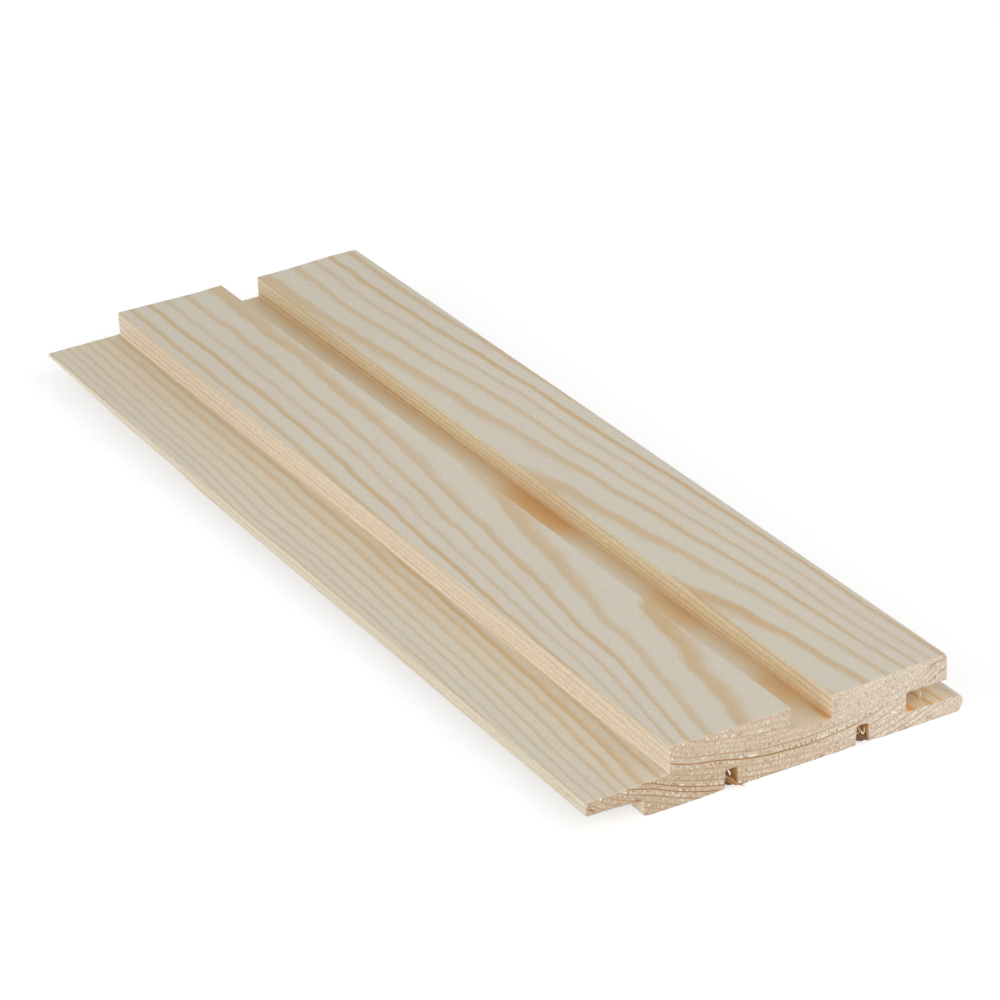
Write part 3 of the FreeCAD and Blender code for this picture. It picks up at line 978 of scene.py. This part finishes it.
def hollow_light_and_shade(wood):
    """Painted light and shade in the hollows, as (amount, tone): the edge groove and the rebate
    painted lighter, and the kerfs painted darker and browner, most near the sawn ends.
    """
    x, y, z = wood.x, wood.y, wood.z
    outward = y.smooth(GROOVE_BOTTOM, GROOVE_BOTTOM + 4)
    in_rebate = y.smooth(REBATE_WALL + 0.2, REBATE_WALL + 0.1)
    in_rebate = in_rebate * z.smooth(TONGUE_UNDERSIDE + 0.9, TONGUE_UNDERSIDE + 0.6)
    up_the_kerf = z.between(0.2, 0.6, KERF_DEPTH, KERF_DEPTH + 0.3)
    up_the_kerf = up_the_kerf * (x.math("ABSOLUTE").smooth(112, 130) * 0.75 + 0.25)
    half = KERF_WIDTH / 2
    return [
        (edge_groove(wood), wood.mix(outward, PAINTED_EDGE_GROOVE_DEEP_LIGHT, PAINTED_EDGE_GROOVE_LIGHT)),
        (in_rebate, PAINTED_REBATE_LIGHT),
        *((up_the_kerf * y.near(middle, half, half + 0.3), PAINTED_KERF_SHADE) for middle in KERFS),
    ]


def slat_arris(wood):
    """1 along the left arris of each slat."""
    along = 0.0
    for left in (SLAT_1_LEFT, SLAT_2_LEFT):
        along = wood.y.near(left, 0.4, 0.7) + along
    return along * wood.z.smooth(THICKNESS - 0.8, THICKNESS - 0.4)


def toned_by_place(wood, colour, is_wall):
    """The faces' colour, with light and shade painted in by where each lies in the section."""
    tones = [(is_wall, PAINTED_WALL_LIGHT), (slat_arris(wood), PAINTED_ARRIS_SHADE)]
    tones += face_groove_tones(wood, is_wall) + tongue_tones(wood) + hollow_light_and_shade(wood)
    for amount, tone in tones:
        colour = wood.tint(colour, amount, tone)
    return colour


def end_line(wood, phase, strength, breaks, grains):
    """How dark the rings' thin lines are on the sawn ends, fainter in places and broken."""
    y, z = wood.y, wood.z
    fade = y.smooth(11, 17) * z.smooth(6, 8) * 0.6 + y.smooth(9, 3) * z.smooth(9.5, 11) * 0.3
    marked = strength * strength * (breaks * LINE_IN_BREAKS + 1.0) * (1.0 - fade)
    marked = marked * (y.smooth(-10, -20) * z.smooth(8, 6) * 0.3 + 1.0)
    line = phase.smooth(*END_LINE_RISE) * phase.smooth(*END_LINE_FALL) * marked
    second = phase.math("ABSOLUTE").smooth(0.38, 0.47) * y.smooth(34, 39) * SECOND_LINE
    return line.math("MAXIMUM", second) * (grains * LINE_IN_GRAINS + 1.0)


def end_strength(wood, rings):
    """How strong each ring is on the sawn ends, with the bold ones on the left."""
    strength = rings.curve(list(enumerate(END_RING_STRENGTHS)))
    bold = 0.0
    for number in BOLD_RINGS:
        bold = rings.near(number, 0.4, 0.6) + bold
    return bold * wood.y.smooth(11, 2) * BOLD_LINE + strength


def sawn_colour(wood, rings, phase, outward, round_pith):
    """End grain: thin dark lines among grains of pale and dark wood, torn in rows by the saw."""
    y, z = wood.y, wood.z

    def grain(sizes, layer, detail=2.0, roughness=0.5):
        """Noise that follows the pith; its layer keeps it apart from the others."""
        return wood.noise(round_pith / sizes[0], outward / sizes[1], layer, detail, roughness)

    def torn(sizes, layer, detail):
        """Noise that follows the rings."""
        return wood.noise(round_pith / sizes[0], rings * sizes[1], layer, detail)

    grains = grain(END_GRAINS, wood.x / 3, roughness=0.7)
    cells = grain(END_CELLS, 2.3, roughness=0.6)
    hues = grain(END_HUES, 4.4, roughness=0.7)
    ladder = grain(END_LADDER, 1.7, detail=1.0)
    rows = torn(END_ROWS, 8.1, detail=1.0)
    breaks = torn(END_BREAKS, 6.6, detail=2.0)
    strength = end_strength(wood, rings)
    line = end_line(wood, phase, strength, breaks, grains)
    band = phase.between(-0.5, -0.42, -0.16, -0.08)
    band = band * strength.smooth(0.68, 0.9) * rows.smooth(-0.5, 0.2) * z.smooth(11.5, 9)
    between = phase.math("ABSOLUTE").smooth(0.12, 0.26)
    flecks = cells.smooth(0.20, 0.40) * rows.smooth(-0.6, 0.3) * between
    flecks = flecks.math("MAXIMUM", ladder.smooth(0.05, 0.25) * band)
    pores = cells.smooth(-0.14, -0.38) * rows.smooth(-0.6, 0.2) * between
    pores = pores.math("MAXIMUM", ladder.smooth(-0.10, -0.30) * band)
    colour = wood.mix(hues.smooth(-0.4, 0.4), END_WOOD, END_WOOD_PINK)
    for tone, across, up in END_TONES:
        amount = y.smooth(*across)
        if up:
            amount = amount * z.smooth(*up)
        colour = wood.tint(colour, amount, tone)
    colour = wood.shade(colour, grains * GRAIN_SHADE + cells * CELL_SHADE + 1.0)
    colour = wood.mix((line * LINE_COVER).clamped(), colour, END_LINE)
    colour = wood.mix(pores * PORE_COVER, colour, END_PORE)
    return wood.mix(flecks * FLECK_COVER, colour, END_FLECK), cells


def planed_colour(wood, rings, phase, streaks, fibres):
    """The long faces: pale earlywood with streaky latewood, and tones by place, most of them
    painted light and shade.
    """
    x, y, z = wood.x, wood.y, wood.z
    strength = rings.curve(list(enumerate(RING_STRENGTHS)))
    strength = strength * (wood.noise(x / 45, rings * 0.8, 3.7) * STRENGTH_CONTRAST + 1.0)
    on_tongue = y.between(-42, -32, SLAT_1_LEFT - 0.4, SLAT_1_LEFT)
    on_tongue = on_tongue * z.smooth(TONGUE_UNDERSIDE + 0.5, TONGUE_UNDERSIDE + 1.5)
    late = latewood(phase * (1.0 - on_tongue * TONGUE_BROADENING), strength, streaks)
    is_wall = wood.facing_y.math("ABSOLUTE").smooth(0.6, 0.95)
    on_wall_2 = is_wall * y.smooth(SLAT_1_RIGHT + 2, SLAT_2_LEFT - 2)
    low_line = on_wall_2 * z.smooth(10.8, 10.2) * x.smooth(0, -60)
    on_floor = groove_floor(wood)
    in_edge = edge_groove(wood)
    on_walls = is_wall * WALL_LATEWOOD + on_wall_2 * WALL_2_LATEWOOD + low_line * LOW_LINE_LATEWOOD
    at_edges = on_tongue * TONGUE_LATEWOOD + in_edge * EDGE_GROOVE_LATEWOOD
    cover = late * (on_walls + 1.0) * (1.0 - on_floor) * (at_edges + 1.0)
    cover = cover * (x.smooth(40, 120) * NEAR_END_LATEWOOD + 1.0)
    cover = (floor_patches(wood, streaks) * on_floor + cover).clamped()
    orange = on_floor.math("MAXIMUM", in_edge * EDGE_GROOVE_ORANGE)
    orange = orange.math("MAXIMUM", on_tongue * TONGUE_ORANGE)
    patches = wood.cells(PATCH_GRAIN, detail=2.0).smooth(-0.2, 0.9)
    planed = wood.mix(patches, EARLYWOOD, EARLYWOOD_PINK)
    planed = wood.mix(cover, planed, wood.mix(orange, LATEWOOD, GROOVE_LATEWOOD))
    specks = wood.cells(SPECK_GRAIN)
    fine = fibres * FIBRE_SHADE + specks * SPECK_SHADE + streaks * STREAK_SHADE
    fine = fine * (is_wall * WALL_COARSENESS + 1.0)
    planed = wood.shade(planed, fine + 1.0 - late * is_wall * WALL_LATEWOOD_SHADE)
    return toned_by_place(wood, planed, is_wall), late


def make_timber():
    """Planed softwood on the long faces and sawn end grain on the ends, from one set of rings."""
    wood = Surface("planed_softwood")
    outward, round_pith = pith_distances(wood)
    radius = outward
    for middle, reach, distance in RING_PUSHES:
        radius = radius - wood.bulge(middle, reach) * distance
    for size, height in RING_WAVES:
        radius = radius + wood.cells(size) * height
    rings = ring_number(radius)
    phase = (rings + 0.5).math("FRACT") - 0.5

    streaks = wood.cells(STREAK_GRAIN, detail=3.0, roughness=0.6)
    fibres = wood.cells(FIBRE_TEXTURE, detail=2.0)
    planed, late = planed_colour(wood, rings, phase, streaks, fibres)
    sawn, cells = sawn_colour(wood, rings, phase, outward, round_pith)
    turned = wood.facing_x.math("ABSOLUTE")
    is_end = turned.smooth(0.72, 0.93)
    colour = wood.mix(is_end, planed, sawn)
    colour = wood.mix(turned.between(0.12, 0.4, 0.85, 0.97) * BURR_COVER, colour, BURR)
    for middle, reach, tilt, amount in MARKS:
        colour = wood.mix(wood.mark(middle, reach, tilt) * amount, colour, STAIN)

    roughness = late * LATEWOOD_ROUGHNESS + fibres * FIBRE_TEXTURE_ROUGHNESS + ROUGHNESS
    roughness = is_end * END_ROUGHNESS + roughness
    height = (fibres * FIBRE_HEIGHT + streaks * STREAK_HEIGHT) * (1.0 - is_end)
    return wood.finish(colour, roughness, cells * is_end * END_HEIGHT + height)


# Camera, fitted to the photograph: where it looks from and its roll in degrees, how far it stands,
# how far it is slid sideways and up, its lens, and how far it sees in metres
CAMERA_AZIMUTH = 61.03
CAMERA_ELEVATION = 26.58
CAMERA_ROLL = -2.25
CAMERA_DISTANCE = 943.6
CAMERA_SLIDE = (8.38, 7.39)
CAMERA_LENS = 141.3
CAMERA_SIGHT = 20


def direction(azimuth, elevation):
    """Unit vector from the board towards a place, for angles in degrees."""
    azimuth, elevation = math.radians(azimuth), math.radians(elevation)
    return Vector((
        math.sin(azimuth) * math.cos(elevation),
        -math.cos(azimuth) * math.cos(elevation),
        math.sin(elevation),
    ))


def make_camera():
    """Camera at the photograph's viewing angle."""
    back = direction(CAMERA_AZIMUTH, CAMERA_ELEVATION)
    roll = math.radians(CAMERA_ROLL)
    level = Vector((0, 0, 1)).cross(back).normalized()
    upright = back.cross(level)
    right = level * math.cos(roll) + upright * math.sin(roll)
    up = upright * math.cos(roll) - level * math.sin(roll)
    place = back * CAMERA_DISTANCE + right * CAMERA_SLIDE[0] + up * CAMERA_SLIDE[1]
    data = bpy.data.cameras.new("camera")
    data.lens = CAMERA_LENS
    data.clip_end = CAMERA_SIGHT
    camera = bpy.data.objects.new("camera", data)
    turn = Matrix((right, up, back)).transposed().to_4x4()
    camera.matrix_world = Matrix.Translation(place * MM) @ turn
    bpy.context.scene.collection.objects.link(camera)
    bpy.context.scene.camera = camera


FLOOR_SIZE = 6.0
FLOOR_GREY = 0.8
# What the camera sees of the floor: part of its white is its own, so that shadows stay light
FLOOR_SEEN = 0.45
FLOOR_GLOW = 0.62
WORLD_STRENGTH = 0.5
# Lamps: name, azimuth and elevation in degrees, size in metres and power in watts
LAMP_DISTANCE = 4.0
LAMPS = (
    ("key", 8, 23, 3.0, 61),
    ("front", 70, 30, 2.8, 48),
    ("back", 125, 40, 2.8, 47),
)


def seen_directly(tree):
    """1 for what the camera sees, by itself, in a reflection or through glass."""
    path = tree.nodes.new("ShaderNodeLightPath")
    seen = Number(tree, path.outputs["Is Camera Ray"])
    for name in ("Is Glossy Ray", "Is Transmission Ray"):
        seen = seen.math("MAXIMUM", Number(tree, path.outputs[name]))
    return seen


def make_floor():
    """Pale floor that keeps the board's shadow."""
    mesh = bmesh.new()
    bmesh.ops.create_grid(mesh, x_segments=1, y_segments=1, size=FLOOR_SIZE / 2)
    data = bpy.data.meshes.new("floor")
    mesh.to_mesh(data)
    mesh.free()
    floor = bpy.data.objects.new("floor", data)
    bpy.context.scene.collection.objects.link(floor)
    surface = Surface("pale_floor")
    seen = seen_directly(surface.tree)
    colour = surface.mix(seen, (FLOOR_GREY,) * 3, (FLOOR_SEEN,) * 3)
    feed(surface.tree, surface.shader.inputs["Base Color"], colour)
    surface.shader.inputs["Emission Color"].default_value = (1, 1, 1, 1)
    feed(surface.tree, surface.shader.inputs["Emission Strength"], seen * FLOOR_GLOW)
    surface.shader.inputs["Roughness"].default_value = 1.0
    surface.shader.inputs["Specular IOR Level"].default_value = 0.0
    data.materials.append(surface.material)


def make_world():
    """Even studio light, in front of a white background."""
    world = bpy.data.worlds.new("studio")
    world.use_nodes = True
    bpy.context.scene.world = world
    tree = world.node_tree
    background = tree.nodes["Background"]
    background.inputs["Color"].default_value = (1, 1, 1, 1)
    strength = seen_directly(tree) * (1.0 - WORLD_STRENGTH) + WORLD_STRENGTH
    feed(tree, background.inputs["Strength"], strength)


def soft_lamp(name, azimuth, elevation, size, power):
    """Large square lamp that looks at the board."""
    towards = direction(azimuth, elevation)
    data = bpy.data.lights.new(name, "AREA")
    data.shape = "SQUARE"
    data.size = size
    data.energy = power
    lamp = bpy.data.objects.new(name, data)
    lamp.location = towards * LAMP_DISTANCE
    lamp.rotation_euler = towards.to_track_quat("Z", "Y").to_euler()
    bpy.context.scene.collection.objects.link(lamp)


def main():
    make_camera()
    make_floor()
    make_world()
    for lamp in LAMPS:
        soft_lamp(*lamp)
    bpy.context.scene.view_settings.view_transform = "Standard"

    timber = make_timber()
    board = add_piece("board_timber", board_mesh(), timber)
    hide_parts("board")
    add_strands()


main()
